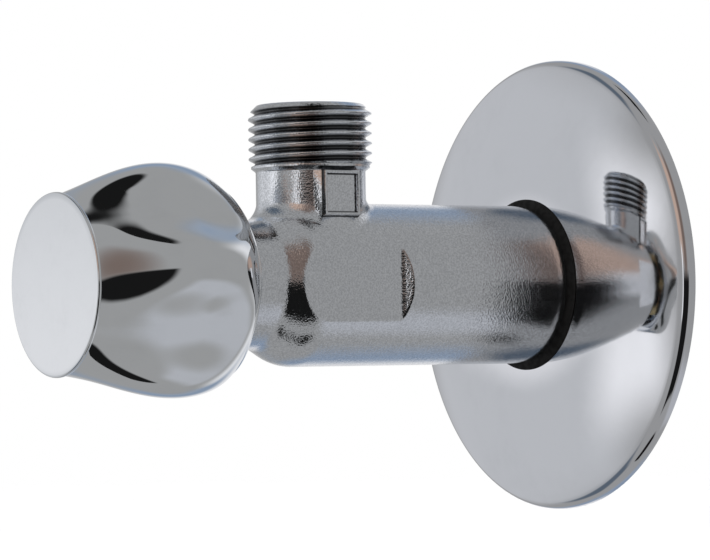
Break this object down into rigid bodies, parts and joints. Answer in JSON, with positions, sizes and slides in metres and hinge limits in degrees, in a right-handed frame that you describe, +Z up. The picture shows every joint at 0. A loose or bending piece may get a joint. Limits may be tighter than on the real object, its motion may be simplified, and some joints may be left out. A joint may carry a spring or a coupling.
{
  "type": "angle valve",
  "caption": "Angle valve for a basin: wall inlet thread, round wall plate, upright outlet nipple and a ribbed knob that drives a sliding piston.",
  "frame": {"origin": "on the wall plane, on the axis of the body and the inlet thread", "axes": "+Y into the wall along the inlet, +Z up along the outlet nipple, +X towards the side of the pad with the raised frame"},
  "size_m": [0.063, 0.0927, 0.063],
  "materials": {
    "body_chrome": "satin chrome plate",
    "plate_chrome": "polished chrome plate",
    "knob_chrome": "polished chrome plate",
    "inner_brass": "machined",
    "seal_rubber": "matte",
    "fibre": "matte",
    "slide_plastic": "satin",
    "spring_steel": "satin"
  },
  "bodies": {
    "body": {"valve_body": "body_chrome", "rosette": "plate_chrome", "rosette_ring": "seal_rubber", "headwork_body": "inner_brass", "headwork_seal": "fibre", "thrust_washer": "slide_plastic"},
    "handle": {"knob": "knob_chrome", "knob_insert": "slide_plastic", "spindle": "inner_brass", "spindle_o_ring_front": "seal_rubber", "spindle_o_ring_rear": "seal_rubber", "slide_washer": "slide_plastic", "retaining_ring": "spring_steel"},
    "plunger": {"piston": "inner_brass", "piston_o_ring": "seal_rubber", "seat_washer": "seal_rubber", "seat_washer_screw": "inner_brass"}
  },
  "joints": [
    {"name": "knob_turn", "type": "hinge", "parent": "body", "child": "handle", "pos_m": [0, -0.068, 0], "axis": [0, -1, 0], "range_deg": [0, 1080]},
    {"name": "piston_slide", "type": "slide", "parent": "body", "child": "plunger", "axis": [0, -1, 0], "range_m": [0, 0.0045]}
  ],
  "couplings": [
    {"joint": "piston_slide", "follows": "knob_turn", "m_per_rad": 0.00023873}
  ]
}
